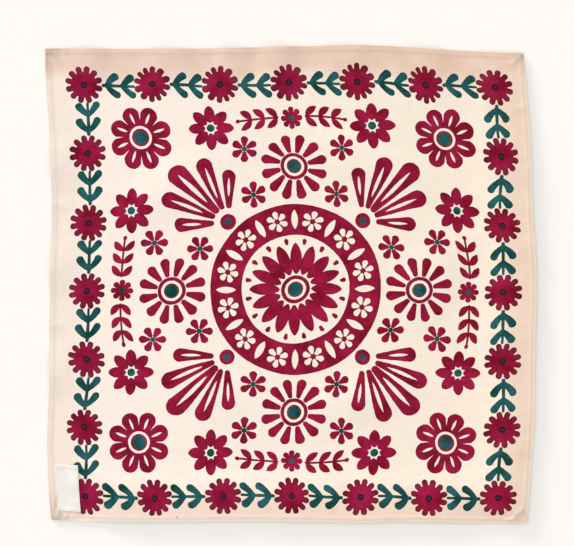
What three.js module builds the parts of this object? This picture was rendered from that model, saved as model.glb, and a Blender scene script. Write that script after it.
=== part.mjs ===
// A square printed cotton scarf that lies face up, with a narrow hem turned under on all four sides and a
// small woven label sewn beside the left hem, near the bottom corner.
// Millimetres. +Z is up, +X runs to the right and +Y to the top of the print, seen from above.
// The origin is on the surface that the scarf lies on, under the middle of the scarf.
import * as THREE from "three";

// Driving dimensions of the flat, hemmed cloth.
const CLOTH_WIDTH = 600;
const CLOTH_LENGTH = 590;
const CLOTH_THICKNESS = 1.2;
const HEM_WIDTH = 7;
const HEM_RISE = 0.6;
const HEM_SLOPE = 1.2;
const CELLS_ACROSS = 38;
const CELLS_ALONG = 38;

// Driving dimensions of the label, and where its lower left corner is from the cloth's.
const LABEL_WIDTH = 28.5;
const LABEL_LENGTH = 58;
const LABEL_THICKNESS = 1;
const LABEL_FROM_LEFT = 10.9;
const LABEL_FROM_BOTTOM = 13;
const LABEL_GAP = 0.3;
const LABEL_FREE_SHARE = 0.45;
const LABEL_EDGE_LIFT = 1;
const LABEL_CORNER_LIFT = 1.5;
const LABEL_CELLS_ACROSS = 8;
const LABEL_CELLS_ALONG = 10;

// How far each side of the cloth lies outside its straight-cut line, at a share of the side's length.
// The top and bottom run from left to right, and the left and right sides from bottom to top.
const TOP_SIDE = [
  { along: 0, out: 1.4 },
  { along: 0.33, out: 1.5 },
  { along: 0.46, out: 3.2 },
  { along: 0.62, out: 5.3 },
  { along: 0.71, out: 4.9 },
  { along: 0.81, out: 0.8 },
  { along: 0.92, out: -3 },
  { along: 1, out: -4.9 },
];
const BOTTOM_SIDE = [
  { along: 0, out: -2.6 },
  { along: 0.09, out: 0.2 },
  { along: 0.27, out: 0.6 },
  { along: 0.4, out: -0.5 },
  { along: 0.64, out: 1.4 },
  { along: 0.77, out: 0.5 },
  { along: 0.9, out: 2.2 },
  { along: 1, out: 2.2 },
];
const LEFT_SIDE = [
  { along: 0, out: -1.8 },
  { along: 0.07, out: 1.8 },
  { along: 0.18, out: 3.7 },
  { along: 0.3, out: 0.8 },
  { along: 0.44, out: 0.8 },
  { along: 0.63, out: -1.8 },
  { along: 0.79, out: -0.6 },
  { along: 0.9, out: 4.2 },
  { along: 1, out: 6.2 },
];
const RIGHT_SIDE = [
  { along: 0, out: -3.6 },
  { along: 0.1, out: 0.6 },
  { along: 0.22, out: 5.2 },
  { along: 0.38, out: 6.4 },
  { along: 0.52, out: 8 },
  { along: 0.66, out: 3.6 },
  { along: 0.8, out: 1 },
  { along: 0.92, out: -4.2 },
  { along: 1, out: -8.4 },
];

// Soft ridges where the cloth stands off the surface. x and y are where the middle of a ridge is on the flat
// cloth, run is the direction of its crest in degrees from +X, reach is half its length, spread half its width
// and lift its height.
const RIDGES = [
  { x: -246, y: 288, run: 84, reach: 62, spread: 34, lift: 2.8 },
  { x: -143, y: 292, run: 97, reach: 56, spread: 38, lift: 2.4 },
  { x: -66, y: 290, run: 88, reach: 64, spread: 30, lift: 2.6 },
  { x: -6, y: 296, run: 80, reach: 70, spread: 32, lift: 3.2 },
  { x: 78, y: 290, run: 96, reach: 60, spread: 44, lift: 2.2 },
  { x: 182, y: 286, run: 104, reach: 66, spread: 34, lift: 3 },
  { x: 290, y: 252, run: 14, reach: 78, spread: 84, lift: 3 },
  { x: 296, y: 154, run: -7, reach: 86, spread: 86, lift: 4.2 },
  { x: 298, y: 54, run: 5, reach: 92, spread: 90, lift: 4.8 },
  { x: 298, y: -52, run: -4, reach: 90, spread: 90, lift: 4.9 },
  { x: 296, y: -156, run: 7, reach: 88, spread: 88, lift: 4.5 },
  { x: 286, y: -254, run: -38, reach: 80, spread: 78, lift: 4.2 },
  { x: 188, y: -290, run: 84, reach: 82, spread: 82, lift: 4.1 },
  { x: 92, y: -292, run: 94, reach: 78, spread: 82, lift: 4 },
  { x: -4, y: -290, run: 87, reach: 82, spread: 82, lift: 4 },
  { x: -98, y: -292, run: 93, reach: 76, spread: 80, lift: 3.8 },
  { x: -188, y: -290, run: 82, reach: 72, spread: 74, lift: 3.4 },
  { x: -298, y: -110, run: 8, reach: 44, spread: 40, lift: 2 },
  { x: -298, y: 22, run: -6, reach: 48, spread: 44, lift: 2.2 },
  { x: -298, y: 150, run: 4, reach: 46, spread: 42, lift: 2.4 },
  { x: -150, y: 120, run: 32, reach: 96, spread: 42, lift: 1.8 },
  { x: 96, y: 150, run: -24, reach: 104, spread: 40, lift: 1.7 },
  { x: 172, y: 10, run: 66, reach: 92, spread: 44, lift: 1.9 },
  { x: 84, y: -142, run: 18, reach: 98, spread: 42, lift: 1.8 },
  { x: -134, y: -110, run: -42, reach: 104, spread: 40, lift: 1.9 },
];

// A smooth curve through a side's table.
function sideCurve(table) {
  const stations = table.map((row) => row.along);
  const values = table.map((row) => row.out);
  const curve = new THREE.CubicInterpolant(stations, values, 1);
  return (along) => curve.evaluate(along)[0];
}

const topSide = sideCurve(TOP_SIDE);
const bottomSide = sideCurve(BOTTOM_SIDE);
const leftSide = sideCurve(LEFT_SIDE);
const rightSide = sideCurve(RIGHT_SIDE);

// Where a point of the flat cloth lies, seen from above.
function layOut(x, y) {
  const across = x / CLOTH_WIDTH + 0.5;
  const along = y / CLOTH_LENGTH + 0.5;
  const sideways = THREE.MathUtils.lerp(-leftSide(along), rightSide(along), across);
  const lengthways = THREE.MathUtils.lerp(-bottomSide(across), topSide(across), along);
  return new THREE.Vector2(x + sideways, y + lengthways);
}

// A soft hump, 1 in the middle and 0 from a distance of 1 on.
function hump(distance) {
  return Math.max(0, 1 - distance * distance) ** 2;
}

// How high the underside of the cloth stands off the surface.
function liftAt(x, y) {
  let lift = 0;
  for (const ridge of RIDGES) {
    const crest = new THREE.Vector2(x - ridge.x, y - ridge.y);
    crest.rotateAround(new THREE.Vector2(), -THREE.MathUtils.degToRad(ridge.run));
    lift += ridge.lift * hump(crest.x / ridge.reach) * hump(crest.y / ridge.spread);
  }
  return lift;
}

// How far a point of the flat cloth is from the nearest side.
function insetAt(x, y) {
  return Math.min(CLOTH_WIDTH / 2 - Math.abs(x), CLOTH_LENGTH / 2 - Math.abs(y));
}

// How high the face of the cloth is above its underside: the turned hem is thicker.
function thicknessAt(x, y) {
  const hemEnd = HEM_WIDTH + HEM_SLOPE / 2;
  const onHem = 1 - THREE.MathUtils.smoothstep(insetAt(x, y), hemEnd - HEM_SLOPE, hemEnd);
  return CLOTH_THICKNESS + HEM_RISE * onHem;
}

// Evenly spaced places from start to end.
function evenly(start, end, cells) {
  return Array.from({ length: cells + 1 }, (_, i) => THREE.MathUtils.lerp(start, end, i / cells));
}

// Places across the cloth: its edge, the two lines of the hem's inner step, and even cells between them.
function clothStations(length, cells) {
  const half = length / 2;
  const hemEnd = HEM_WIDTH + HEM_SLOPE / 2;
  const field = half - hemEnd;
  const step = field + HEM_SLOPE;
  return [-half, -step, ...evenly(-field, field, cells), step, half];
}

// A closed sheet over a grid of places: under and over give the two heights at each place.
function sheetGeometry(stationsX, stationsY, place, under, over) {
  const columns = stationsX.length;
  const rows = stationsY.length;
  const positions = [];
  for (const height of [under, over]) {
    for (const y of stationsY) {
      for (const x of stationsX) {
        const at = place(x, y);
        positions.push(at.x, at.y, height(x, y));
      }
    }
  }
  const upper = columns * rows;
  const at = (i, j) => j * columns + i;
  const faces = [];
  const addQuad = (a, b, c, d) => faces.push(a, b, c, a, c, d);
  for (let j = 0; j < rows - 1; j += 1) {
    for (let i = 0; i < columns - 1; i += 1) {
      const corners = [at(i, j), at(i + 1, j), at(i + 1, j + 1), at(i, j + 1)];
      addQuad(...corners.map((corner) => corner + upper));
      addQuad(...corners.reverse());
    }
  }
  const addWall = (a, b) => addQuad(a, b, b + upper, a + upper);
  for (let i = 0; i < columns - 1; i += 1) {
    addWall(at(i, 0), at(i + 1, 0));
    addWall(at(i + 1, rows - 1), at(i, rows - 1));
  }
  for (let j = 0; j < rows - 1; j += 1) {
    addWall(at(columns - 1, j), at(columns - 1, j + 1));
    addWall(at(0, j + 1), at(0, j));
  }
  const geometry = new THREE.BufferGeometry();
  geometry.setAttribute("position", new THREE.Float32BufferAttribute(positions, 3));
  geometry.setIndex(faces);
  geometry.computeVertexNormals();
  return geometry;
}

// The printed cotton square with its hem.
function makeCloth() {
  const geometry = sheetGeometry(
    clothStations(CLOTH_WIDTH, CELLS_ACROSS),
    clothStations(CLOTH_LENGTH, CELLS_ALONG),
    layOut,
    liftAt,
    (x, y) => liftAt(x, y) + thicknessAt(x, y),
  );
  const material = new THREE.MeshStandardMaterial({ color: 0xf6e7d8, roughness: 0.9, metalness: 0 });
  const cloth = new THREE.Mesh(geometry, material);
  cloth.name = "cloth";
  return cloth;
}

// The woven label: caught down beside the hem, with its right side and upper right corner standing up a little.
function makeLabel() {
  const left = LABEL_FROM_LEFT - CLOTH_WIDTH / 2;
  const bottom = LABEL_FROM_BOTTOM - CLOTH_LENGTH / 2;
  const under = (x, y) => {
    const across = (x - left) / LABEL_WIDTH;
    const along = (y - bottom) / LABEL_LENGTH;
    const free = THREE.MathUtils.smoothstep(across, LABEL_FREE_SHARE, 1);
    const curl = free * (LABEL_EDGE_LIFT + LABEL_CORNER_LIFT * along * along);
    return CLOTH_THICKNESS + LABEL_GAP + curl;
  };
  const geometry = sheetGeometry(
    evenly(left, left + LABEL_WIDTH, LABEL_CELLS_ACROSS),
    evenly(bottom, bottom + LABEL_LENGTH, LABEL_CELLS_ALONG),
    layOut,
    under,
    (x, y) => under(x, y) + LABEL_THICKNESS,
  );
  const material = new THREE.MeshStandardMaterial({ color: 0xf2ede2, roughness: 0.5, metalness: 0 });
  const label = new THREE.Mesh(geometry, material);
  label.name = "label";
  return label;
}

const scarf = new THREE.Group();
scarf.add(makeCloth(), makeLabel());

// The uneven sides put the middle of the scarf off the middle of the flat cloth, so the scarf is moved back.
const middle = new THREE.Box3().setFromObject(scarf).getCenter(new THREE.Vector3());
scarf.position.set(-middle.x, -middle.y, 0);

export default scarf;
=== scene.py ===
"""A square printed cotton scarf that lies face up on a pale floor, seen from straight above.

The cloth, the stitches of its hem, its bare woven label and the label's stitches are separate pieces.
Tables are in millimetres on the flat cloth, with the origin in its middle. Meshes are in metres.
"""
import math

import bpy
import numpy as np
from bpy.props import FloatProperty, FloatVectorProperty, PointerProperty
from mathutils import Euler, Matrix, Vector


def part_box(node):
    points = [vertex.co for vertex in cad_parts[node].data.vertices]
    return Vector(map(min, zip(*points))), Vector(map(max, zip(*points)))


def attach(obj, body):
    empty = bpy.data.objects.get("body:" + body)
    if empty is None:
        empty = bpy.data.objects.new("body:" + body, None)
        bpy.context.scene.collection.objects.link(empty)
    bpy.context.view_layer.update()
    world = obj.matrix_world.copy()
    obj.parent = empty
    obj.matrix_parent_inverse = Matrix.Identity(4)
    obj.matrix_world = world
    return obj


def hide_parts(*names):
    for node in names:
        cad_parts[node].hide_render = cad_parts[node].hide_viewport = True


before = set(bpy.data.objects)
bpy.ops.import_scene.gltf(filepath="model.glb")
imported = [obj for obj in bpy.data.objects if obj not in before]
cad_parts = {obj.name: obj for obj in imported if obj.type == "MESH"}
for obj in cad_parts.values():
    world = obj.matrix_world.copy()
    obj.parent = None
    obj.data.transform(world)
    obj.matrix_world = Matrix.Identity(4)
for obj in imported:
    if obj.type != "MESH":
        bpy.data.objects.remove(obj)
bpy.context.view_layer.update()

bl_info = {
    "name": "Printed square scarf",
    "version": (1, 0, 0),
    "blender": (4, 5, 0),
    "location": "3D View > Sidebar > Scarf",
    "description": "Makes a printed cotton scarf with a stitched hem and a woven label, and its stage",
    "category": "Object",
}

MM = 0.001

# How far each side of the cloth lies outside its straight-cut line, at a share of the side's length.
# The top and bottom run from left to right, and the left and right sides from bottom to top.
TOP_SIDE = [
    (0, 1.4), (0.33, 1.5), (0.46, 3.2), (0.62, 5.3), (0.71, 4.9), (0.81, 0.8), (0.92, -3), (1, -4.9),
]
BOTTOM_SIDE = [
    (0, -2.6), (0.09, 0.2), (0.27, 0.6), (0.4, -0.5), (0.64, 1.4), (0.77, 0.5), (0.9, 2.2), (1, 2.2),
]
LEFT_SIDE = [
    (0, -1.8), (0.07, 1.8), (0.18, 3.7), (0.3, 0.8), (0.44, 0.8),
    (0.63, -1.8), (0.79, -0.6), (0.9, 4.2), (1, 6.2),
]
RIGHT_SIDE = [
    (0, -3.6), (0.1, 0.6), (0.22, 5.2), (0.38, 6.4), (0.52, 8),
    (0.66, 3.6), (0.8, 1), (0.92, -4.2), (1, -8.4),
]

# Soft ridges: x and y of the middle, the crest's direction in degrees, half its length, half its width and
# its height.
RIDGES = [
    (-246, 288, 84, 62, 34, 2.8),
    (-143, 292, 97, 56, 38, 2.4),
    (-66, 290, 88, 64, 30, 2.6),
    (-6, 296, 80, 70, 32, 3.2),
    (78, 290, 96, 60, 44, 2.2),
    (182, 286, 104, 66, 34, 3),
    (290, 252, 14, 78, 84, 3),
    (296, 154, -7, 86, 86, 4.2),
    (298, 54, 5, 92, 90, 4.8),
    (298, -52, -4, 90, 90, 4.9),
    (296, -156, 7, 88, 88, 4.5),
    (286, -254, -38, 80, 78, 4.2),
    (188, -290, 84, 82, 82, 4.1),
    (92, -292, 94, 78, 82, 4),
    (-4, -290, 87, 82, 82, 4),
    (-98, -292, 93, 76, 80, 3.8),
    (-188, -290, 82, 72, 74, 3.4),
    (-298, -110, 8, 44, 40, 2),
    (-298, 22, -6, 48, 44, 2.2),
    (-298, 150, 4, 46, 42, 2.4),
    (-150, 120, 32, 96, 42, 1.8),
    (96, 150, -24, 104, 40, 1.7),
    (172, 10, 66, 92, 44, 1.9),
    (84, -142, 18, 98, 42, 1.8),
    (-134, -110, -42, 104, 40, 1.9),
]

# Small creases, in the same columns: the crumpled corners, and drag lines beside the hem.
CREASES = [
    (-289, -285, 84, 14, 3.2, 1.5),
    (-279, -288, 72, 11, 2.8, 1.1),
    (-269, -290, 104, 9, 3, 0.7),
    (-294, -272, 78, 14, 2.6, 0.7),
    (-262, -283, 12, 16, 3, 0.5),
    (284, -284, 56, 15, 3.4, 1.1),
    (291, -279, 78, 11, 2.8, 0.9),
    (276, -290, 12, 12, 2.8, 0.8),
    (268, -284, 66, 10, 3, 0.5),
    (-288, 286, -52, 16, 5, 0.8),
    (-272, 290, 82, 14, 5, 0.5),
    (288, 284, 44, 14, 5, 0.8),
    (290, 222, 12, 20, 7, 0.5),
    (288, -206, -10, 22, 7, 0.5),
    (-292, -54, 8, 18, 6, 0.4),
    (-291, 96, -12, 20, 6, 0.4),
]

# Where the print lies out of line: x and y from its middle, reach, and how far it is drawn to the right
# and up.
DRAGS = [
    (-256, 222, 62, 3, 0),
    (-171, 256, 60, 0.9, 0),
    (0, 256, 120, 0, -2),
    (171, 256, 70, -1.3, -0.6),
    (256, 171, 62, 1.6, 0),
    (256, 85, 110, 0, -2.2),
    (256, 0, 62, -1.5, 0),
    (-256, 85, 110, 0, -2.2),
    (-171, -256, 62, 0.6, -1.5),
    (0, -256, 100, 0.6, 1.4),
    (171, -256, 62, 0, -1.1),
]

# The right and bottom folds roll down: the share of the ridges' height that they lose, and the width of the
# strip beside the fold in which they lose it.
ROLL = (0.6, 3.2)

# The sewn hem draws the folds in: how far, and the width of the strip beside the fold that gives way.
DRAWN_IN = (1.3, 16)

# The turned hem: half the width of the seam's furrow, its depth on each side of the cloth, and how much
# thicker the corners are.
SEAM_REACH = 1.6
SEAM_DEPTH = 0.05
CORNER_EXTRA = 0.5

# Where a dark slub shows in the lower margin.
FLECK = (-140.5, -288, 0)

# The cotton: the pitch of its yarns, how much of the ink shows on the underside, and by what the colour is
# multiplied at the ends of the border flowers' petals and at the far right.
YARN_PITCH = 0.55
SHOWS_THROUGH = 0.38
PETAL_ENDS = (0.64, 2.3, 0.98)
WARM = (0.965, 0.945, 0.89)

# Puckers that the hem's seam draws in, for each side: height and spacing. They die out this far in.
PUCKERS = {"top": (0.22, 27), "bottom": (0.42, 22), "left": (0.2, 31), "right": (0.3, 25)}
PUCKER_REACH = 26

# How far the hem's thread lies above the face and below the underside.
FACE_THREAD_RISE = 0.1
UNDER_THREAD_DROP = 0.02

# How far from an edge the lines of a sheet's mesh are, before its even cells begin.
CLOTH_INSETS = [
    0, 0.12, 0.35, 0.7, 1.4, 2.8, 4.2, 5.0, 5.5, 6.0, 6.5, 7.0, 7.7,
    9.4, 11.6, 14, 16.5, 19, 21.5, 24, 27, 30,
]
LABEL_INSETS = [0, 0.1, 0.3, 0.8, 1.6, 3.0, 4.6, 5.4, 6.2]
LABEL_CELLS = (1.2, 1.6)

# The label: its gap to the cloth, the length of its turned ends, how far its stitches are from its left side
# and its lower end, and their sizes.
LABEL_GAP = 0.08
LABEL_TURN = 5.5
LABEL_SEAM_INSETS = (1.3, 1.6)
LABEL_STITCH_PITCH = 2.5
LABEL_STITCH_LENGTH = 2.0
LABEL_THREAD_SHARE = 0.85
LABEL_THREAD_RISE = 0.02

# How far the middle of the picture is from the middle of the flat cloth, to the right and up.
VIEW_MIDDLE = (-3.73, 15.56)

# The stage: the size and height of the floor in metres, and the width of the camera's sensor in millimetres.
FLOOR_SIZE = 40
FLOOR_HEIGHT = -0.3 * MM
SENSOR = 36


def linear(red, green, blue):
    """A colour given as 8-bit screen values, as Blender's linear values."""
    shares = [value / 255 for value in (red, green, blue)]
    return tuple(s / 12.92 if s <= 0.04045 else ((s + 0.055) / 1.055) ** 2.4 for s in shares)


# Settings


def size(name, description, millimetres):
    """A length that a user may change."""
    return FloatProperty(name=name, description=description, default=millimetres * MM, unit="LENGTH")


def angle(name, description, degrees):
    """An angle that a user may change."""
    return FloatProperty(name=name, description=description, default=math.radians(degrees), subtype="ANGLE")


def tone(name, description, colour):
    """A colour that a user may change."""
    return FloatVectorProperty(name=name, description=description, size=3, default=colour, subtype="COLOR")


class ScarfCloth(bpy.types.PropertyGroup):
    """Sizes of the cloth and its hem"""

    width: size("Width", "Hemmed width of the flat cloth", 600)
    length: size("Length", "Hemmed length of the flat cloth", 590)
    thickness: size("Thickness", "Of the cloth inside the hem", 0.8)
    hem_thickness: size("Hem thickness", "Of the turned hem", 1.2)
    hem_width: size("Hem width", "From the fold to the turned edge", 7)
    corner_radius: size("Corner radius", "Of the hem's corners", 2)
    cell: size("Cell", "Size of the mesh's cells away from the hem", 4.2)
    seam_inset: size("Seam inset", "From the fold to the stitches", 6)
    stitch_pitch: size("Stitch pitch", "From one stitch to the next", 3)
    stitch_length: size("Stitch length", "Length of one stitch", 2.5)
    thread: size("Thread", "Thickness of the sewing thread", 0.34)


class ScarfPrint(bpy.types.PropertyGroup):
    """Sizes and colours of the print"""

    middle: FloatVectorProperty(
        name="Middle", description="Middle of the border on the flat cloth", size=2,
        default=(3 * MM, -6.3 * MM), unit="LENGTH",
    )
    border_half: size("Border", "From the middle to the row of border flowers", 255.9)
    cream: tone("Cream", "Ground inside the border", linear(245, 232, 219))
    peach: tone("Peach", "Tint of the margins", linear(230, 200, 183))
    # The tan is painted shade along the top and bottom margins, the outer fold and the creases, and tan on
    # the corners. The paler fold colour is a painted highlight on the right and bottom folds.
    tan: tone("Tan", "Handled corners and top edge", linear(202, 180, 161))
    fold_highlight: tone("Rubbed", "Rubbed right and bottom folds", linear(255, 241, 227))
    fleck: tone("Fleck", "Dark slub in the lower margin", linear(116, 98, 92))
    crimson: tone("Crimson", "Ink of the flowers", linear(136, 13, 47))
    teal: tone("Teal", "Ink of the border sprigs", linear(18, 78, 77))
    eye: tone("Eye", "Ink of the border flowers' centres", linear(34, 16, 34))
    worn_eye: tone("Worn eye", "Where that ink is thin", linear(66, 50, 66))


class ScarfLabel(bpy.types.PropertyGroup):
    """Sizes of the woven label"""

    width: size("Width", "Width of the ribbon", 28.5)
    length: size("Length", "Length of the label", 58)
    thickness: size("Thickness", "Of the ribbon", 0.4)
    from_left: size("From left", "From the cloth's left fold", 10.9)
    from_bottom: size("From bottom", "From the cloth's bottom fold", 13)
    colour: tone("Colour", "Colour of the ribbon", linear(238, 233, 223))


class ScarfStage(bpy.types.PropertyGroup):
    """The floor, the lights and the camera"""

    view_width: size("View width", "Width of floor in the picture", 714.5)
    camera_height: size("Camera height", "Above the floor", 2000)
    floor: tone("Floor", "Colour of the floor", (0.93, 0.897, 0.857))
    key_colour: tone("Key colour", "Colour of the key light", (1.0, 0.985, 0.965))
    key_strength: FloatProperty(name="Key strength", description="Strength of the key light", default=3.2)
    key_height: angle("Key height", "Of the key light above the floor", 7.5)
    key_side: angle("Key side", "How far the key light is turned to the top from the left", 53)
    key_spread: angle("Key spread", "Width of the key light in the sky", 10)
    sky_strength: FloatProperty(name="Sky strength", description="Strength of the even fill", default=0.94)


# The lie of the cloth


def side_curve(table, share):
    """How far out a side lies at a share of its length: a smooth curve through its table."""
    places = np.array([row[0] for row in table], float)
    values = np.array([row[1] for row in table], float)
    secants = np.diff(values) / np.diff(places)
    slopes = np.concatenate([secants[:1], (secants[:-1] + secants[1:]) / 2, secants[-1:]])
    start = np.clip(np.searchsorted(places, share, side="right") - 1, 0, len(places) - 2)
    span = places[start + 1] - places[start]
    t = (share - places[start]) / span
    held = (2 * t**3 - 3 * t**2 + 1) * values[start] + (3 * t**2 - 2 * t**3) * values[start + 1]
    turned = (t**3 - 2 * t**2 + t) * slopes[start] + (t**3 - t**2) * slopes[start + 1]
    return held + span * turned


def hump(distance):
    """A soft hump, 1 in the middle and 0 from a distance of 1 on."""
    return np.maximum(0, 1 - distance**2) ** 2


def ease(value, low, high):
    """0 below low, 1 above high, and smooth between them."""
    t = np.clip((value - low) / (high - low), 0, 1)
    return t * t * (3 - 2 * t)


def raised(rows, x, y):
    """The height that a table of ridges gives at points of the flat cloth."""
    height = np.zeros_like(x)
    for row_x, row_y, run, reach, spread, lift in rows:
        turn = math.radians(run)
        along = (x - row_x) * math.cos(turn) + (y - row_y) * math.sin(turn)
        across = (y - row_y) * math.cos(turn) - (x - row_x) * math.sin(turn)
        height += lift * hump(along / reach) * hump(across / spread)
    return height


def rounded_edge(under, layers, inset, radius):
    """Heights of a sheet's underside and face, which come together within the radius of its edge."""
    middle = under + layers / 2
    half = layers / 2 * np.sqrt(1 - 0.9 * np.clip(1 - inset / radius, 0, 1) ** 2)
    return middle - half, middle + half


class ClothLie:
    """Where the flat cloth lies, in millimetres: its outline, its lift off the floor and its thickness."""

    def __init__(self, settings):
        self.width = settings.width / MM
        self.length = settings.length / MM
        self.thickness = settings.thickness / MM
        self.hem_thickness = settings.hem_thickness / MM
        self.hem_width = settings.hem_width / MM
        self.corner = settings.corner_radius / MM
        self.seam = settings.seam_inset / MM
        edge_x = np.linspace(-0.5, 0.5, 241) * self.width
        edge_y = np.linspace(-0.5, 0.5, 241) * self.length
        top = self.spread(edge_x, np.full_like(edge_x, self.length / 2))[1].max()
        bottom = self.spread(edge_x, np.full_like(edge_x, -self.length / 2))[1].min()
        right = self.spread(np.full_like(edge_y, self.width / 2), edge_y)[0].max()
        left = self.spread(np.full_like(edge_y, -self.width / 2), edge_y)[0].min()
        low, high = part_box("cloth")
        self.shift_x = (low[0] + high[0]) / 2 / MM - (left + right) / 2
        self.shift_y = (low[1] + high[1]) / 2 / MM - (bottom + top) / 2

    def spread(self, x, y):
        """Where points of the flat cloth lie, before the scarf is moved over the origin."""
        across = x / self.width + 0.5
        along = y / self.length + 0.5
        sideways = -side_curve(LEFT_SIDE, along) * (1 - across) + side_curve(RIGHT_SIDE, along) * across
        lengthways = -side_curve(BOTTOM_SIDE, across) * (1 - along) + side_curve(TOP_SIDE, across) * along
        return x + sideways, y + lengthways

    def inset(self, x, y):
        """Distance to the nearest fold."""
        return np.minimum(self.width / 2 - np.abs(x), self.length / 2 - np.abs(y))

    def lift(self, x, y):
        """How high the underside stands off the floor."""
        puckers = np.zeros_like(x)
        sides = {
            "top": (x, self.length / 2 - y),
            "bottom": (x, self.length / 2 + y),
            "left": (y, self.width / 2 + x),
            "right": (y, self.width / 2 - x),
        }
        for side, (run, inset) in sides.items():
            height, spacing = PUCKERS[side]
            # The spacing and the size of the puckers wander along the side.
            phase = 2 * math.pi * run / spacing + 1.9 * np.sin(run / 31) + 1.1 * np.sin(run / 13)
            swell = 0.6 + 0.4 * np.sin(run / 47 + len(side))
            near_fold = hump(np.clip(inset / PUCKER_REACH, 0, 1))
            puckers += height * swell * (0.5 + 0.5 * np.sin(phase)) * near_fold
        share, reach = ROLL
        from_edge = np.minimum(self.width / 2 - x, self.length / 2 + y)
        rolled = 1 - share * hump(np.clip(from_edge / reach, 0, 1))
        return raised(RIDGES, x, y) * rolled + raised(CREASES, x, y) + puckers

    def layers(self, x, y):
        """Thickness of the cloth: three layers in the hem, more in its corners, drawn in at the seam."""
        inset = self.inset(x, y)
        side_x = self.width / 2 - np.abs(x)
        side_y = self.length / 2 - np.abs(y)
        on_hem = 1 - ease(inset, self.hem_width - 1, self.hem_width + 3)
        in_corner = 1 - ease(np.maximum(side_x, side_y), self.hem_width - 1, self.hem_width + 1)
        hem_extra = (self.hem_thickness - self.thickness) * on_hem
        return self.thickness + hem_extra + CORNER_EXTRA * in_corner - 2 * SEAM_DEPTH * self.furrow(inset)

    def furrow(self, inset):
        """How much the seam draws the cloth together, from 0 to 1."""
        return hump((inset - self.seam) / SEAM_REACH)

    def surfaces(self, x, y):
        """Heights of the underside and the face, with the fold of the hem rounded and the seam sunk in."""
        inset = self.inset(x, y)
        layers = self.layers(x, y)
        under = self.lift(x, y) + SEAM_DEPTH * self.furrow(inset)
        return rounded_edge(under, layers, inset, self.hem_thickness / 2)

    def place(self, x, y):
        """Where points of the flat cloth lie on the floor: its corners are round, and its folds drawn in."""
        square_x = np.clip((np.abs(x) - self.width / 2) / self.corner + 1, 0, 1)
        square_y = np.clip((np.abs(y) - self.length / 2) / self.corner + 1, 0, 1)
        pull_x = self.corner * square_x * (1 - np.sqrt(1 - square_y**2 / 2))
        pull_y = self.corner * square_y * (1 - np.sqrt(1 - square_x**2 / 2))
        drawn_in, reach = DRAWN_IN
        pull_x = pull_x + drawn_in * hump(np.clip((self.width / 2 - np.abs(x)) / reach, 0, 1))
        pull_y = pull_y + drawn_in * hump(np.clip((self.length / 2 - np.abs(y)) / reach, 0, 1))
        laid_x, laid_y = self.spread(x - np.sign(x) * pull_x, y - np.sign(y) * pull_y)
        return laid_x + self.shift_x, laid_y + self.shift_y


# Mesh helpers


def deselect_all():
    """Nothing stays selected or active in edit mode."""
    if bpy.context.mode != "OBJECT":
        bpy.ops.object.mode_set(mode="OBJECT")
    bpy.ops.object.select_all(action="DESELECT")


def take(name):
    """Names the object that an operator has just added, and its mesh."""
    piece = bpy.context.active_object
    piece.name = name
    piece.data.name = name
    return piece


def vertices_of(piece):
    """The piece's vertices as rows of x, y and z."""
    places = np.empty(len(piece.data.vertices) * 3)
    piece.data.vertices.foreach_get("co", places)
    return places.reshape(-1, 3)


def move_vertices(piece, places):
    """Puts the piece's vertices at rows of x, y and z."""
    piece.data.vertices.foreach_set("co", np.ascontiguousarray(places).ravel())
    piece.data.update()


def settle(piece):
    """Applies the piece's place, so that its object sits at the origin, unturned and unscaled."""
    deselect_all()
    piece.select_set(True)
    bpy.context.view_layer.objects.active = piece
    bpy.ops.object.transform_apply(location=True, rotation=True, scale=True)


def apply_modifiers(piece):
    """Applies each of the piece's modifiers."""
    deselect_all()
    piece.select_set(True)
    bpy.context.view_layer.objects.active = piece
    for modifier in list(piece.modifiers):
        bpy.ops.object.modifier_apply(modifier=modifier.name)


def stations(length, insets, cell):
    """Places across a sheet: the given insets from both edges, and even cells between them."""
    half = length / 2
    field = half - insets[-1]
    cells = max(2, round(2 * field / cell))
    middle = np.linspace(-field, field, cells + 1)
    side = [half - inset for inset in insets[:-1]]
    return np.array([-place for place in side] + list(middle) + side[::-1])


def add_sheet(name, across, along):
    """A closed sheet over a grid of places. Returns the piece, each vertex's place on the flat sheet and
    whether it is on the face."""
    deselect_all()
    bpy.ops.mesh.primitive_grid_add(
        x_subdivisions=len(across) - 1, y_subdivisions=len(along) - 1, size=2, calc_uvs=True
    )
    piece = take(name)
    bpy.ops.object.mode_set(mode="EDIT")
    bpy.ops.mesh.select_all(action="SELECT")
    bpy.ops.mesh.extrude_region_move(TRANSFORM_OT_translate={"value": (0, 0, -1)})
    bpy.ops.mesh.select_all(action="SELECT")
    bpy.ops.mesh.normals_make_consistent(inside=False)
    bpy.ops.object.mode_set(mode="OBJECT")
    grid = vertices_of(piece)
    column = np.rint((grid[:, 0] + 1) / 2 * (len(across) - 1)).astype(int)
    row = np.rint((grid[:, 1] + 1) / 2 * (len(along) - 1)).astype(int)
    return piece, across[column], along[row], grid[:, 2] > -0.5


def map_flat(piece, u, v, on_face):
    """Gives the piece a UV map of the flat sheet and an attribute that is 1 on its face."""
    mesh = piece.data
    corners = np.empty(len(mesh.loops), dtype=np.int32)
    mesh.loops.foreach_get("vertex_index", corners)
    layer = mesh.uv_layers[0] if mesh.uv_layers else mesh.uv_layers.new(name="flat")
    layer.name = "flat"
    layer.data.foreach_set("uv", np.column_stack([u[corners], v[corners]]).astype(np.float32).ravel())
    add_share(piece, "on_face", on_face)


def add_share(piece, name, shares):
    """Gives the piece an attribute with a share from 0 to 1 for each vertex."""
    attribute = piece.data.attributes.new(name, "FLOAT", "POINT")
    attribute.data.foreach_set("value", np.asarray(shares, dtype=np.float32))


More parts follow.
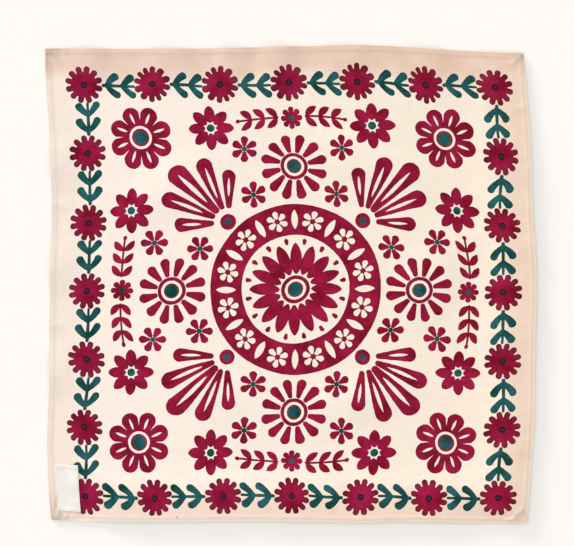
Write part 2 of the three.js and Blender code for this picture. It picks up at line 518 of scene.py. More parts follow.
def add_seam(name, count, pitch, length, thread):
    """A straight row of stitches along X from the origin, as one mesh."""
    deselect_all()
    bpy.ops.mesh.primitive_uv_sphere_add(segments=6, ring_count=5, radius=1, rotation=(0, math.pi / 2, 0))
    piece = take(name)
    piece.scale = (thread * 0.42, thread / 2, length / 2)
    piece.location = (pitch / 2, 0, 0)
    settle(piece)
    row = piece.modifiers.new("row", "ARRAY")
    row.use_relative_offset = False
    row.use_constant_offset = True
    row.constant_offset_displace = (pitch, 0, 0)
    row.count = count
    apply_modifiers(piece)
    return piece


def sew_row(row, pitch, stitch, thread, surface):
    """A row of stitches on a sheet: row gives its start, direction and length on the flat sheet, and surface
    where flat points lie and how high the thread runs there."""
    start_x, start_y, run_x, run_y, side = row
    count = round(side / pitch)
    seam = add_seam("seam", count, side / count, stitch, thread)
    places = vertices_of(seam)
    x = start_x + run_x * places[:, 0] - run_y * places[:, 1]
    y = start_y + run_y * places[:, 0] + run_x * places[:, 1]
    laid_x, laid_y, height = surface(x, y)
    move_vertices(seam, np.column_stack([laid_x, laid_y, height + places[:, 2]]) * MM)
    return seam


def join(pieces, name):
    """Joins pieces into the first."""
    deselect_all()
    for piece in pieces:
        piece.select_set(True)
    bpy.context.view_layer.objects.active = pieces[0]
    bpy.ops.object.join()
    return take(name)


def smooth(piece, degrees=40):
    """Smooth shading, with edges over an angle left sharp."""
    deselect_all()
    piece.select_set(True)
    bpy.context.view_layer.objects.active = piece
    bpy.ops.object.shade_smooth_by_angle(angle=math.radians(degrees))


# Material helpers


class Strand:
    """A value on its way through a material. Arithmetic on strands adds the Math nodes that it needs."""

    def __init__(self, loom, socket):
        self.loom = loom
        self.socket = socket

    def work(self, operation, *others, clamp=False):
        """A Math node with this strand first."""
        values = dict(enumerate((self, *others)))
        return self.loom.node("ShaderNodeMath", {"operation": operation, "use_clamp": clamp}, values)

    def after(self, operation, first):
        """A Math node with this strand second."""
        return self.loom.node("ShaderNodeMath", {"operation": operation}, {0: first, 1: self})

    def __add__(self, other):
        return self.work("ADD", other)

    __radd__ = __add__

    def __sub__(self, other):
        return self.work("SUBTRACT", other)

    def __rsub__(self, other):
        return self.after("SUBTRACT", other)

    def __mul__(self, other):
        return self.work("MULTIPLY", other)

    __rmul__ = __mul__

    def __truediv__(self, other):
        return self.work("DIVIDE", other)

    def __abs__(self):
        return self.work("ABSOLUTE")

    def least(self, other):
        return self.work("MINIMUM", other)

    def most(self, other):
        return self.work("MAXIMUM", other)

    def held(self):
        """Kept between 0 and 1."""
        return self.work("ADD", 0.0, clamp=True)


class Loom:
    """One material and its nodes."""

    def __init__(self, name):
        self.material = bpy.data.materials.new(name)
        self.material.use_nodes = True
        self.tree = self.material.node_tree
        self.tree.nodes.clear()

    def node(self, kind, settings=None, values=None, output=0):
        """Adds a node, sets it up, then sets or links its sockets, and returns one of its outputs."""
        made = self.tree.nodes.new(kind)
        for key, value in (settings or {}).items():
            setattr(made, key, value)
        for key, value in (values or {}).items():
            if isinstance(value, Strand):
                self.tree.links.new(value.socket, made.inputs[key])
            else:
                made.inputs[key].default_value = value
        return Strand(self, made.outputs[output])

    def vector(self, operation, *values, output=0):
        """A Vector Math node."""
        return self.node("ShaderNodeVectorMath", {"operation": operation}, dict(enumerate(values)), output)

    def split(self, vector):
        """The x and y of a vector."""
        x = self.node("ShaderNodeSeparateXYZ", None, {0: vector})
        return x, Strand(self, x.socket.node.outputs[1])

    def flat(self, width, length):
        """Millimetres on the flat sheet from its middle, out of the piece's UV map."""
        uv = self.node("ShaderNodeUVMap", {"uv_map": "flat"})
        return self.vector("MULTIPLY_ADD", uv, (width, length, 0), (-width / 2, -length / 2, 0))

    def share(self, name):
        """A share that the piece carries as an attribute."""
        return self.node("ShaderNodeAttribute", {"attribute_name": name}, None, output=2)

    def grey(self, brightness):
        """A grey with its three channels alike."""
        return self.node("ShaderNodeCombineColor", None, {0: brightness, 1: brightness, 2: brightness})

    def noise(self, place, size, detail=2.0, stretch=(1, 1, 1), offset=(0, 0, 0), roughness=0.5, output=0):
        """Noise with features of about a size in millimetres, drawn out by the stretch."""
        scaled = self.vector("MULTIPLY_ADD", place, tuple(1 / (size * s) for s in stretch), offset)
        values = {"Vector": scaled, "Scale": 1.0, "Detail": detail, "Roughness": roughness}
        return self.node("ShaderNodeTexNoise", None, values, output)

    def ramp(self, value, low, high):
        """0 below low, 1 above high, and smooth between them; high may be the lower of the two."""
        values = {"Value": value, "From Min": low, "From Max": high}
        return self.node("ShaderNodeMapRange", {"interpolation_type": "SMOOTHSTEP"}, values)

    def mix(self, share, first, second, blend="MIX"):
        """One colour over another."""
        values = {0: share, 6: self.full(first), 7: self.full(second)}
        return self.node("ShaderNodeMix", {"data_type": "RGBA", "blend_type": blend}, values, output=2)

    @staticmethod
    def full(colour):
        """A colour with its alpha, or a strand as it is."""
        return colour if isinstance(colour, Strand) else (*tuple(colour)[:3], 1.0)

    def finish(self, colour, roughness, height, sheen, gloss):
        """A cloth surface: height is in millimetres, and sheen and gloss are the same all over."""
        normal = self.node("ShaderNodeBump", None, {"Strength": 1.0, "Distance": MM, "Height": height})
        values = {
            "Base Color": colour,
            "Roughness": roughness,
            "Normal": normal,
            "Sheen Weight": sheen,
            "Sheen Roughness": 0.5,
            "Specular IOR Level": gloss,
        }
        surface = self.node("ShaderNodeBsdfPrincipled", None, values)
        self.node_output(surface)
        return self.material

    def node_output(self, surface):
        """Links the surface to the material's output."""
        made = self.tree.nodes.new("ShaderNodeOutputMaterial")
        self.tree.links.new(surface.socket, made.inputs["Surface"])


# Printed shapes: each gives how deep a point is inside the shape, in millimetres, and is negative outside it


def spokes(x, y, count, turn=0.0):
    """Distances along and across the nearest of evenly turned spokes, and from the origin."""
    radius = (x * x + y * y).work("SQRT")
    angle = y.work("ARCTAN2", x) + turn
    nearest = angle.work("WRAP", math.pi / count, -math.pi / count)
    return radius * nearest.work("COSINE"), radius * nearest.work("SINE"), radius


def club(x, y, start, end, start_radius, end_radius, bow=0.0):
    """A stroke that widens from one round end to the other. Its middle bows to the left of its run."""
    run_x = end[0] - start[0]
    run_y = end[1] - start[1]
    square = run_x**2 + run_y**2
    from_x = x - start[0]
    from_y = y - start[1]
    share = (from_x * (run_x / square) + from_y * (run_y / square)).held()
    if bow:
        arch = share * (1.0 - share) * (4 * bow / math.sqrt(square))
        from_x = from_x + arch * run_y
        from_y = from_y - arch * run_x
    off_x = from_x - share * run_x
    off_y = from_y - share * run_y
    away = (off_x * off_x + off_y * off_y).work("SQRT")
    return share * (end_radius - start_radius) + start_radius - away


def leaf(x, y, base, degrees, length, width, bow=0.0, fullness=0.8):
    """A pointed leaf from its base. A low fullness gives blunter ends, and its middle bows to its left."""
    turn = math.radians(degrees)
    from_x = x - base[0]
    from_y = y - base[1]
    share = ((from_x * math.cos(turn) + from_y * math.sin(turn)) * (1 / length)).held()
    across = from_y * math.cos(turn) - from_x * math.sin(turn)
    swell = share * (1.0 - share) * 4.0
    if bow:
        across = across - swell * bow
    return swell.work("POWER", fullness) * (width / 2) - abs(across) - 0.12


def shaded(colour, red, green, blue):
    """A colour with its red, green and blue each multiplied."""
    return [value * share for value, share in zip(colour, (red, green, blue))]


def deepest(*depths):
    """Shapes laid over each other, or the greatest of other values."""
    result = depths[0]
    for depth in depths[1:]:
        result = result.most(depth)
    return result


def off_ring(radius, middle, half_width):
    """Depth outside a ring round the origin, which cuts the ring out of a shape."""
    return abs(radius - middle) - half_width


def cover(depth, edge=0.3):
    """How much ink lies on a point, from its depth inside a shape."""
    return (depth * (1 / edge) + 0.5).held()


def border_print(x, y, half):
    """The border: a row of daisies with a leafy sprig between each pair, which runs round the square.
    Returns the depths in the daisies, in their centres and in the sprigs."""
    pitch = half / 3
    petal_turn = math.pi / 12
    size_x = abs(x)
    size_y = abs(y)
    upright = size_y.work("GREATER_THAN", size_x)
    along_rows = x * y.work("SIGN") * upright
    along_columns = y * x.work("SIGN") * (1.0 - upright)
    along = along_rows - along_columns + half
    out = size_x.most(size_y) - half
    from_daisy = along.work("WRAP", pitch / 2, -pitch / 2)
    # The petals of the five middle daisies in the top row are turned and crowded a little.
    in_top_row = y.work("GREATER_THAN", half - pitch / 2) * size_x.work("LESS_THAN", half - pitch / 2)
    angle = out.work("ARCTAN2", from_daisy)
    crowded = ((angle * 2.0 - 2.86).work("COSINE") * 0.105 + 0.109) * in_top_row
    radius = (from_daisy * from_daisy + out * out).work("SQRT")
    nearest = (angle - crowded + petal_turn).work("WRAP", petal_turn, -petal_turn)
    spoke = radius * nearest.work("COSINE")
    across = radius * nearest.work("SINE")
    daisy = club(spoke, across, (6, 0), (19.25, 0), 3.4, 3.65).most(15.7 - radius)
    eye = 4.0 - radius
    past_daisy = along.work("FLOORED_MODULO", pitch)
    # The sprigs lean in a little, and their inner leaves lie a little further along.
    aside = abs(out + past_daisy * 0.035 + y * 0.002 - x * 0.0027 - 0.6)
    past = past_daisy + out * 0.08
    stem = club(past, aside, (23.6, 0), (62.2, 0), 2.2, 1.6)
    near_leaf = club(past, aside, (28.2, 0.9), (39.3, 11.0), 3.0, 4.8, bow=0.9)
    far_leaf = club(past, aside, (48.2, 0.9), (59.0, 10.6), 3.0, 4.75, bow=0.5)
    return daisy, eye, stem.most(near_leaf).most(far_leaf)


def rosette(x, y):
    """The middle flower, with a bead beyond each gap between its petals. This and the motifs after it return
    their depths in the crimson and in the teal."""
    spoke, across, radius = spokes(x, y, 16)
    petals = leaf(spoke, abs(across), (19, 0), 0, 38, 15, fullness=0.65)
    flower = petals.most(17.5 - radius).least(off_ring(radius, 11.2, 1.6))
    spoke, across, _ = spokes(x, y, 16, math.pi / 16)
    beads = club(spoke, across, (57, 0), (60, 0), 2.0, 2.8)
    return flower.most(beads), 8.2 - radius


def blossom_band(x, y, middle):
    """A round band, with blossoms and pointed ovals knocked out of it by turns. Returns its crimson depth."""
    spoke, across, radius = spokes(x, y, 12)
    ovals = leaf(spoke, across, (middle - 12.5, 0), 0, 25, 8.5)
    spoke, across, _ = spokes(x, y, 12, math.pi / 12)
    petal, petal_across, reach = spokes(spoke - middle, across, 6)
    blossoms = club(petal, petal_across, (5.4, 0), (9.6, 0), 2.2, 3.6)
    band = 19.5 - abs(radius - middle)
    return band.least(-1.0 * blossoms).least(-1.0 * ovals).most(2.4 - reach)


def axis_daisy(x, y):
    """A daisy of twelve clubs round a ringed disc."""
    spoke, across, reach = spokes(x, y, 12, math.pi / 12)
    petals = club(spoke, across, (20.5, 0), (35.4, 0), 3.0, 6.0)
    disc = (17.0 - reach).least(off_ring(reach, 10.8, 1.7))
    return petals.most(disc), 7.6 - reach


def garland(x, y):
    """Half of a drooping leafy garland along Y, with a small flower in its middle and a bud at its end."""
    drop = x - 2.0 + y * y * 0.0012
    step = (y - 17.0).work("FLOORED_MODULO", 16.0)
    leaves = leaf(step, abs(drop), (0.6, 0.4), 40, 18.0, 8.6, bow=1.0).most(1.3 - abs(drop))
    leaves = leaves.least(y - 16.6).least(64.6 - y)
    bud = club(y, drop, (66.5, 0), (67.5, 0), 2.4, 2.4)
    spoke, across, reach = spokes(x, y, 8)
    petals = club(spoke, across, (4, 0), (10, 0), 2.2, 3.6)
    return deepest(leaves, bud, petals), 3.4 - reach


def palmette(x, y):
    """Half of a palmette along X from its root: a slit middle petal, and two to its side."""
    petals = club(x, y, (21, 0), (85, 0), 4.5, 12.6).least(-1.0 * leaf(x, y, (34, 0), 0, 52, 5.5))
    for degrees, tip, breadth in ((23, 75, 10.6), (48, 58, 8.6)):
        run_x = math.cos(math.radians(degrees))
        run_y = math.sin(math.radians(degrees))
        petal = club(x, y, (20 * run_x, 20 * run_y), (tip * run_x, tip * run_y), 3.4, breadth)
        slit = leaf(x, y, (32 * run_x, 32 * run_y), degrees, tip - 33, breadth * 0.42)
        petals = petals.most(petal.least(-1.0 * slit))
    from_root = (x * x + y * y).work("SQRT")
    return petals.most(9.6 - from_root), 4.2 - from_root


def corner_flower(x, y):
    """A broad flower of eight slit petals round a ringed disc."""
    spoke, across, reach = spokes(x, y, 8, math.pi / 8)
    slits = leaf(spoke, across, (17, 0), 0, 15, 3.4)
    petals = club(spoke, across, (14, 0), (28.6, 0), 6.6, 10.6).least(-1.0 * slits)
    return petals.most(15.5 - reach).least(off_ring(reach, 12.2, 1.6)), 8.0 - reach


def star_flower(x, y):
    """A flower of eight pointed petals."""
    spoke, across, reach = spokes(x, y, 8)
    return leaf(spoke, across, (6.5, 0), 0, 21.5, 13.4, fullness=0.6), 4.8 - reach


def gap_flower(x, y):
    """A small flower of six petals."""
    spoke, across, reach = spokes(x, y, 6)
    return club(spoke, across, (5.6, 0), (11.8, 0), 2.6, 4.7), 3.1 - reach


def middle_print(x, y):
    """The field, which mirrors in both axes and both diagonals. Returns the depths in the crimson and in the
    teal."""
    size_x = abs(x)
    size_y = abs(y)
    far = size_x.most(size_y)
    near = size_x.least(size_y)
    out = (far + near) * math.sqrt(0.5)
    off = (far - near) * math.sqrt(0.5)
    motifs = [
        rosette(x, y),
        axis_daisy(far - 151.5, near),
        garland(far - 213.0, near),
        palmette(out - 118.0, off),
        corner_flower(out - 267.0, off),
        star_flower(far - 201.5, near - 100.5),
        gap_flower(far - 117.5, near - 51.5),
        gap_flower(far - 175.0, near - 60.0),
    ]
    crimson = deepest(blossom_band(x, y, 86.0), *(motif[0] for motif in motifs))
    return crimson, deepest(*(motif[1] for motif in motifs))


# Materials


def weave(loom, place, pitch):
    """Height of a plain weave, from 0 to 1, and the slubs of its two sets of yarns."""
    x, y = loom.split(place)
    turn = math.pi / pitch
    over = (x * turn).work("SINE") * (y * turn).work("SINE")
    slubs_across = loom.noise(place, 1.1, detail=1.0, stretch=(26, 1, 1))
    slubs_along = loom.noise(place, 1.1, detail=1.0, stretch=(1, 26, 1), offset=(7, 3, 0))
    return over * over, slubs_across, slubs_along


def distances(x, y, width, length):
    """How far a point of the flat cloth is from each side, from the nearest fold and from the corners."""
    side_x = width / 2 - abs(x)
    side_y = length / 2 - abs(y)
    return {
        "left": width / 2 + x,
        "right": width / 2 - x,
        "top": length / 2 - y,
        "bottom": length / 2 + y,
        "fold": side_x.least(side_y),
        "corner": side_x.most(side_y),
    }


def shade_and_tan(loom, place, away, fold_highlight, toward_top_left, hem):
    """How much tan is painted over the cloth, from 0 to 1: painted shade along its top and bottom margins,
    its outer fold and its creases, tan along its left hem, and most of all on its corners.
    """
    patches = loom.ramp(loom.noise(place, 19, detail=3.0, offset=(4.0, 8.0, 0)), 0.42, 0.62)
    # Painted shade: tan in patches along the top and bottom margins, and along the outermost fold where it is
    # not painted paler. The creases get painted shade too, and the left hem is darker as well.
    top = loom.ramp(away["top"], 34.0, 6.0) * (patches * 0.75 + 0.25)
    bottom = loom.ramp(away["bottom"], 36.0, 8.0) * (patches * 0.5 + 0.5)
    left_hem = loom.ramp(away["left"], hem + 3.0, hem - 1.0) * (patches * 0.5 + 0.5)
    fold = loom.ramp(away["fold"], 3.2, 0.4) * (1.0 - fold_highlight)
    tan_share = top * 0.12 + bottom * 0.08 + left_hem * 0.15 + fold * 0.2 + loom.share("creased") * 0.5

    # The corners are painted tan, most at their tips, along their folds and at the top left corner, and more
    # the nearer they are to the top left.
    corners = loom.ramp(away["corner"], 26.0, 4.0) * (patches * 0.6 + 0.4)
    corner_folds = loom.ramp(away["corner"], 44.0, 8.0) * loom.ramp(away["fold"], 7.0, 0.5)
    tips = loom.ramp(away["corner"], 14.0, 3.0)
    upper_left = loom.ramp(away["left"], 10.0, 3.0) * loom.ramp(away["top"], 52.0, 12.0)
    tan_share = tan_share + corners * (toward_top_left * 0.15 + 0.25) + corner_folds * (toward_top_left * 0.34 + 0.42)
    return (tan_share + tips * (toward_top_left * 0.36 + 0.36) + upper_left * 0.34).held()


def cotton_ground(loom, place, cloth, colours):
    """The unprinted cloth: cream, with peach margins that are strongest at the top and weakest at the left,
    partly as painted shade, a painted highlight on the right and bottom folds, and tan painted over it.
    Returns its colour and a shade that lies over cloth and ink."""
    width = cloth.width / MM
    length = cloth.length / MM
    hem = cloth.hem_width / MM
    x, y = loom.split(place)
    away = distances(x, y, width, length)
    wander = (loom.noise(place, 46, detail=2.0, offset=(3.1, 1.7, 0)) - 0.5) * 34.0
    # The peach margins are the cloth's own tint, but their strength on each side is partly painted shade:
    # strongest at the top, weakest at the left.
    shares = {"top": 0.92, "right": 0.66, "bottom": 0.6, "left": 0.2}
    margins = [loom.ramp(away[side] + wander, 56.0, 24.0) * share for side, share in shares.items()]
    # Painted highlight: the right and bottom folds are painted paler than the margins beside them, to lift
    # the shade on their rolled-down edges.
    fold_highlight = loom.ramp(away["right"].least(away["bottom"]), 5.0, 1.5)
    tint = deepest(*margins) * (1.0 - fold_highlight * 0.8)
    clouds = loom.noise(place, 24, detail=3.0, offset=(9.0, 4.0, 0))
    ground = loom.mix(tint * (clouds * 0.9 + 0.55), colours.cream, colours.peach)
    ground = loom.mix(fold_highlight * 0.5, ground, colours.fold_highlight)

    # The tan on the corners grows towards the top left and fades towards the bottom right.
    toward_top_left = y * (1 / length) - x * (1 / width)
    ground = loom.mix(shade_and_tan(loom, place, away, fold_highlight, toward_top_left, hem), ground, colours.tan)
    fleck = loom.ramp(loom.vector("DISTANCE", place, FLECK, output=1), 2.2, 0.6)
    ground = loom.mix(fleck * 0.55, ground, colours.fleck)
    turned = loom.ramp(away["fold"], hem + 1.5, hem - 0.5)
    return ground, 1.0 - turned * 0.012 + (clouds - 0.5) * 0.05


def print_place(loom, place, middle):
    """Millimetres from the middle of the print, with a slight wander and the print's drags."""
    slow_wander = 5.0
    quick_wander = 0.8
    slow = loom.noise(place, 62, detail=0.0, output=1)
    quick = loom.noise(place, 5.0, detail=1.0, offset=(5, 8, 0), output=1)
    drawn = loom.vector("MULTIPLY_ADD", slow, (slow_wander, slow_wander, 0), place)
    drawn = loom.vector("MULTIPLY_ADD", quick, (quick_wander, quick_wander, 0), drawn)
    average = (slow_wander + quick_wander) / 2
    drawn = loom.vector("SUBTRACT", drawn, (average + middle[0] / MM, average + middle[1] / MM, 0))
    for drag_x, drag_y, reach, right, up in DRAGS:
        away = loom.vector("DISTANCE", drawn, (drag_x, drag_y, 0), output=1)
        drawn = loom.vector("MULTIPLY_ADD", loom.ramp(away, reach, 0.0), (-right, -up, 0), drawn)
    return loom.split(drawn)


def print_on(loom, place, ground, slubs, colours):
    """Prints the ground. The ink soaks in unevenly, dries darker along its outlines and shows through faintly
    on the underside. Returns the colour, and how much ink lies on each point."""
    x, y = print_place(loom, place, colours.middle)
    daisy, eye, sprig = border_print(x, y, colours.border_half / MM)
    field_crimson, field_teal = middle_print(x, y)
    red_depth = field_crimson.most(daisy)
    green_depth = field_teal.most(sprig)
    rough_edge = (loom.noise(place, 0.9, detail=1.0) - 0.5) * 0.5
    crimson = cover(red_depth + rough_edge)
    teal = cover(green_depth + rough_edge)

    soaked = loom.noise(place, 26, detail=5.0, roughness=0.58, offset=(2, 6, 0))
    rim = loom.ramp(red_depth.most(green_depth), 1.7, 0.3)
    pale = (0.54 + (soaked - 0.5) * 3.6 + slubs * 0.5 - rim * 0.45).held()
    deep_red = shaded(colours.crimson, 0.75, 0.5, 0.6)
    pale_red = shaded(colours.crimson, 1.38, 2.2, 1.95)
    deep_green = shaded(colours.teal, 0.15, 0.55, 0.47)
    pale_green = shaded(colours.teal, 3.0, 1.52, 1.78)
    petal_ends = loom.ramp(eye, -8.0, -17.0) * cover(daisy)
    red = loom.mix(petal_ends, loom.mix(pale, deep_red, pale_red), PETAL_ENDS, blend="MULTIPLY")
    green = loom.mix(pale, deep_green, pale_green)

    ink = loom.share("on_face") * (1 - SHOWS_THROUGH) + SHOWS_THROUGH
    colour = loom.mix(crimson * ink, ground, red)
    colour = loom.mix(teal * ink, colour, green)
    colour = loom.mix(cover(eye) * ink, colour, colours.eye)
    colour = loom.mix(cover(eye - 1.7, 1.6) * ink * 0.7, colour, colours.worn_eye)
    return colour, crimson.most(teal)


def printed_cotton(cloth, colours):
    """Light plain-weave cotton: cream with peach margins, and the print in crimson and teal ink."""
    loom = Loom("printed_cotton")
    width = cloth.width / MM
    place = loom.flat(width, cloth.length / MM)
    over, slubs_across, slubs_along = weave(loom, place, YARN_PITCH)
    ground, shade = cotton_ground(loom, place, cloth, colours)
    colour, inked = print_on(loom, place, ground, slubs_across + slubs_along - 1.0, colours)

    # The colour drifts from cool at the left to warmer and darker at the right.
    x, _ = loom.split(place)
    drift = loom.mix(loom.ramp(x, -0.5 * width, 0.52 * width), (1.0, 1.0, 1.0), WARM)
    colour = loom.mix(1.0, colour, drift, blend="MULTIPLY")
    threads = 1.0 + (slubs_across - 0.5) * 0.09 + (slubs_along - 0.5) * 0.09
    colour = loom.mix(1.0, colour, loom.grey(shade * threads), blend="MULTIPLY")

    rumples = loom.noise(place, 17, detail=3.0, roughness=0.55, offset=(1, 2, 0))
    height = over * 0.03 + (slubs_across + slubs_along) * 0.07 + rumples * 0.5
    return loom.finish(colour, 0.92 - inked * 0.08, height, sheen=0.02, gloss=0.08)


def satin_ribbon(label):
    """Off-white woven ribbon: fine ribs across it, selvedges and a slight lustre, with nothing on it."""
    loom = Loom("woven_label")
    width = label.width / MM
    length = label.length / MM
    place = loom.flat(width, length)
    x, y = loom.split(place)
    rib_pitch = 0.45
    twill_pitch = 0.4
    ribs = (y * (math.pi / rib_pitch)).work("SINE")
    twill = ((x + y * 0.5) * (math.pi / twill_pitch)).work("SINE")
    streaks = loom.noise(place, 0.8, detail=1.0, stretch=(18, 1, 1))
    selvedge = 1.0 - (abs(width / 2 - LABEL_SEAM_INSETS[0] - abs(x)) * 1.4).held()
    end = 1.0 - (abs(length / 2 - LABEL_TURN - abs(y)) * 1.2).held()
    brightness = 0.98 + (streaks - 0.5) * 0.08 - selvedge * 0.05 - end * 0.02
    colour = loom.mix(1.0, label.colour, loom.grey(brightness), blend="MULTIPLY")
    height = ribs * 0.02 + twill * 0.015 + streaks * 0.05 - selvedge * 0.06
    return loom.finish(colour, 0.46 + streaks * 0.12, height, sheen=0.1, gloss=0.45)


def cotton_thread(name, colour):
    """Twisted sewing thread."""
    loom = Loom(name)
    place = loom.node("ShaderNodeTexCoord", None, None, output=3)
    near = loom.vector("MULTIPLY", place, (1 / MM, 1 / MM, 1 / MM))
    x, y = loom.split(near)
    ply_pitch = 0.32
    twist = ((x + y) * (math.pi / ply_pitch)).work("SINE")
    fuzz = loom.noise(near, 0.7, detail=2.0)
    brightness = 0.96 + (fuzz - 0.5) * 0.16 + twist * 0.04
    mixed = loom.mix(1.0, colour, loom.grey(brightness), blend="MULTIPLY")
    return loom.finish(mixed, 0.8 + fuzz * 0.1, twist * 0.04 + fuzz * 0.04, sheen=0.1, gloss=0.25)


# Operators


class SCARF_OT_cloth(bpy.types.Operator):
    """Makes the printed cloth with its turned hem"""

    bl_idname = "scarf.cloth"
    bl_label = "Cloth"

    def execute(self, context):
        settings = context.scene.scarf_cloth
        lie = ClothLie(settings)
        across = stations(lie.width, CLOTH_INSETS, settings.cell / MM)
        along = stations(lie.length, CLOTH_INSETS, settings.cell / MM)
        piece, x, y, on_face = add_sheet("printed_cloth", across, along)
        laid_x, laid_y = lie.place(x, y)
        under, face = lie.surfaces(x, y)
        move_vertices(piece, np.column_stack([laid_x, laid_y, np.where(on_face, face, under)]) * MM)
        map_flat(piece, x / lie.width + 0.5, y / lie.length + 0.5, on_face)
        # The crease heights, which the cotton reads to paint shade into the creases.
        add_share(piece, "creased", np.clip(raised(CREASES, x, y), 0, 1))
        piece.data.materials.append(printed_cotton(settings, context.scene.scarf_print))
        smooth(piece, 60)
        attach(piece, "root")
        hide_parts("cloth")
        return {"FINISHED"}


class SCARF_OT_hem_stitches(bpy.types.Operator):
    """Sews the hem, with stitches on the face and on the underside"""

    bl_idname = "scarf.hem_stitches"
    bl_label = "Hem stitches"

    def execute(self, context):
        settings = context.scene.scarf_cloth
        lie = ClothLie(settings)
        half_x = lie.width / 2 - lie.seam
        half_y = lie.length / 2 - lie.seam
        rows = [
            (half_x, half_y, -1, 0, 2 * half_x),
            (-half_x, half_y, 0, -1, 2 * half_y),
            (-half_x, -half_y, 1, 0, 2 * half_x),
            (half_x, -half_y, 0, 1, 2 * half_y),
        ]
        pitch = settings.stitch_pitch / MM
        stitch = settings.stitch_length / MM
        thread = settings.thread / MM

        def on_face(x, y):
            return *lie.place(x, y), lie.surfaces(x, y)[1] + FACE_THREAD_RISE

        def on_underside(x, y):
            return *lie.place(x, y), lie.surfaces(x, y)[0] - UNDER_THREAD_DROP

        surfaces = (on_face, on_underside)
        seams = [sew_row(row, pitch, stitch, thread, surface) for surface in surfaces for row in rows]
        piece = join(seams, "hem_stitches")
        piece.data.materials.append(cotton_thread("hem_thread", linear(236, 216, 200)))
        smooth(piece, 80)
        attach(piece, "root")
        return {"FINISHED"}


class SCARF_OT_label(bpy.types.Operator):
    """Makes the bare woven label, sewn beside the left hem, with its right side standing up a little"""

    bl_idname = "scarf.label"
    bl_label = "Label"

    def execute(self, context):
        settings = context.scene.scarf_label
        lie = ClothLie(context.scene.scarf_cloth)
        width = settings.width / MM
        length = settings.length / MM
        across = stations(width, LABEL_INSETS, LABEL_CELLS[0])
        along = stations(length, LABEL_INSETS, LABEL_CELLS[1])
        piece, x, y, on_face = add_sheet("woven_label", across, along)
        laid_x, laid_y, under, face = lay_label(settings, lie, x, y)
        move_vertices(piece, np.column_stack([laid_x, laid_y, np.where(on_face, face, under)]) * MM)
        map_flat(piece, x / width + 0.5, y / length + 0.5, on_face)
        piece.data.materials.append(satin_ribbon(settings))
        smooth(piece, 60)
        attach(piece, "root")
        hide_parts("label")
        return {"FINISHED"}


def lay_label(settings, lie, x, y):
    """Where points of the flat label lie over the floor, and the heights of its underside and its face."""
    width = settings.width / MM
    length = settings.length / MM
    thickness = settings.thickness / MM
    on_cloth_x = x + settings.from_left / MM - lie.width / 2 + width / 2
    on_cloth_y = y + settings.from_bottom / MM - lie.length / 2 + length / 2
    across = x / width + 0.5
    along = y / length + 0.5
    # The right side is free and curls up, the more the nearer it is to the upper corner.
    free = ease(across, 0.4, 1) * ease(along, -0.1, 0.35)
    curl = free * (0.9 + 1.6 * along**2 + 0.35 * np.sin(along * 11 + 0.6))
    ripple = 0.12 * np.sin(y / 4.3 + 0.8 * np.sin(x / 6)) * ease(across, 0.15, 0.5) * ease(along, 0.08, 0.3)
    _, ground = lie.surfaces(on_cloth_x, on_cloth_y)
    under = ground + LABEL_GAP + curl + ripple + np.maximum(0, -ripple) * (1 - free)
    turned = 1 - ease(length / 2 - np.abs(y), LABEL_TURN - 0.7, LABEL_TURN + 0.1)
    layers = thickness * (1 + 0.7 * turned)
    inset = np.minimum(width / 2 - np.abs(x), length / 2 - np.abs(y))
    return *lie.place(on_cloth_x, on_cloth_y), *rounded_edge(under, layers, inset, thickness / 2)


class SCARF_OT_label_stitches(bpy.types.Operator):
    """Sews the label down along its left side and its lower end"""

    bl_idname = "scarf.label_stitches"
    bl_label = "Label stitches"

    def execute(self, context):
        settings = context.scene.scarf_label
        cloth = context.scene.scarf_cloth
        lie = ClothLie(cloth)
        half_x = settings.width / MM / 2 - LABEL_SEAM_INSETS[0]
        half_y = settings.length / MM / 2 - LABEL_SEAM_INSETS[1]
        rows = [(-half_x, half_y, 0, -1, 2 * half_y), (-half_x, -half_y, 1, 0, 2 * half_x)]
        thread = cloth.thread / MM * LABEL_THREAD_SHARE

        def on_label(x, y):
            laid_x, laid_y, _, face = lay_label(settings, lie, x, y)
            return laid_x, laid_y, face + LABEL_THREAD_RISE

        seams = [sew_row(row, LABEL_STITCH_PITCH, LABEL_STITCH_LENGTH, thread, on_label) for row in rows]
        piece = join(seams, "label_stitches")
        piece.data.materials.append(cotton_thread("label_thread", linear(240, 234, 222)))
        smooth(piece, 80)
        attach(piece, "root")
        return {"FINISHED"}


class SCARF_OT_declare(bpy.types.Operator):
    """Finishes without doing anything"""

    bl_idname = "scarf.declare"
    bl_label = "Declare the cloth"

    def execute(self, context):
        return {"FINISHED"}


def lay_floor(settings):
    """A plain pale floor, just under the cloth."""
    deselect_all()
    bpy.ops.mesh.primitive_plane_add(size=FLOOR_SIZE, location=(0, 0, FLOOR_HEIGHT))
    floor = take("floor")
    loom = Loom("floor")
    values = {"Base Color": (*settings.floor, 1), "Roughness": 0.95, "Specular IOR Level": 0.1}
    loom.node_output(loom.node("ShaderNodeBsdfPrincipled", None, values))
    floor.data.materials.append(loom.material)


def add_key_light(settings):
    """A low, soft light from the upper left."""
    turn = Euler((0, settings.key_height - math.pi / 2, -settings.key_side))
    bpy.ops.object.light_add(type="SUN", location=(-1, 1, 1), rotation=turn)
    key = bpy.context.active_object
    key.name = "key_light"
    key.data.energy = settings.key_strength
    key.data.angle = settings.key_spread
    key.data.color = settings.key_colour


def fill_evenly(scene, strength):
    """A white sky that lights the cloth alike from all sides."""
    world = bpy.data.worlds.new("even_fill")
    world.use_nodes = True
    background = world.node_tree.nodes["Background"]
    background.inputs["Color"].default_value = (1.0, 1.0, 1.0, 1.0)
    background.inputs["Strength"].default_value = strength
    scene.world = world


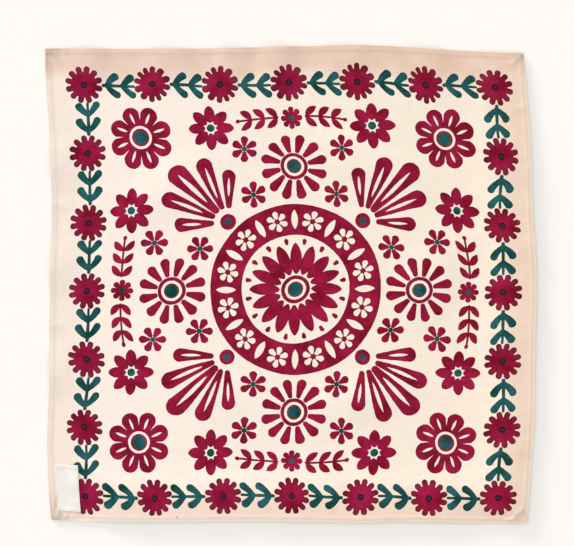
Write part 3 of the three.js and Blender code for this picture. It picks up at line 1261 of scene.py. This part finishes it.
def add_camera(scene, settings, lie):
    """A camera that looks straight down and takes in the width of the view on the floor."""
    middle_x = (VIEW_MIDDLE[0] + lie.shift_x) * MM
    middle_y = (VIEW_MIDDLE[1] + lie.shift_y) * MM
    bpy.ops.object.camera_add(location=(middle_x, middle_y, settings.camera_height), rotation=(0, 0, 0))
    camera = bpy.context.active_object
    camera.name = "camera_above"
    camera.data.sensor_width = SENSOR
    camera.data.lens = SENSOR * settings.camera_height / settings.view_width
    camera.data.clip_end = FLOOR_SIZE / 2
    scene.camera = camera


class SCARF_OT_stage(bpy.types.Operator):
    """Lays the pale floor, sets the lights and puts the camera straight above"""

    bl_idname = "scarf.stage"
    bl_label = "Stage"

    def execute(self, context):
        settings = context.scene.scarf_stage
        lay_floor(settings)
        add_key_light(settings)
        fill_evenly(context.scene, settings.sky_strength)
        add_camera(context.scene, settings, ClothLie(context.scene.scarf_cloth))
        context.scene.view_settings.view_transform = "Standard"
        return {"FINISHED"}


class SCARF_PT_panel(bpy.types.Panel):
    """Lists the scarf's settings and operators"""

    bl_label = "Printed square scarf"
    bl_idname = "SCARF_PT_panel"
    bl_space_type = "VIEW_3D"
    bl_region_type = "UI"
    bl_category = "Scarf"

    def draw(self, context):
        layout = self.layout
        for group in ("scarf_cloth", "scarf_print", "scarf_label", "scarf_stage"):
            box = layout.box()
            settings = getattr(context.scene, group)
            for name in settings.bl_rna.properties.keys():
                if name not in ("rna_type", "name"):
                    box.prop(settings, name)
        for operator in OPERATORS:
            layout.operator(operator.bl_idname)


GROUPS = {
    "scarf_cloth": ScarfCloth,
    "scarf_print": ScarfPrint,
    "scarf_label": ScarfLabel,
    "scarf_stage": ScarfStage,
}
OPERATORS = (
    SCARF_OT_cloth,
    SCARF_OT_hem_stitches,
    SCARF_OT_label,
    SCARF_OT_label_stitches,
    SCARF_OT_declare,
    SCARF_OT_stage,
)


def register():
    """Adds the settings, the operators and the panel."""
    for name, group in GROUPS.items():
        bpy.utils.register_class(group)
        setattr(bpy.types.Scene, name, PointerProperty(type=group))
    for operator in OPERATORS:
        bpy.utils.register_class(operator)
    bpy.utils.register_class(SCARF_PT_panel)


def unregister():
    """Takes them away again."""
    bpy.utils.unregister_class(SCARF_PT_panel)
    for operator in reversed(OPERATORS):
        bpy.utils.unregister_class(operator)
    for name, group in reversed(GROUPS.items()):
        delattr(bpy.types.Scene, name)
        bpy.utils.unregister_class(group)


def main():
    """Makes the scarf and its stage."""
    register()
    bpy.ops.scarf.cloth()
    bpy.ops.scarf.hem_stitches()
    bpy.ops.scarf.label()
    bpy.ops.scarf.label_stitches()
    bpy.ops.scarf.declare()
    bpy.ops.scarf.stage()


if __name__ == "__main__":
    main()
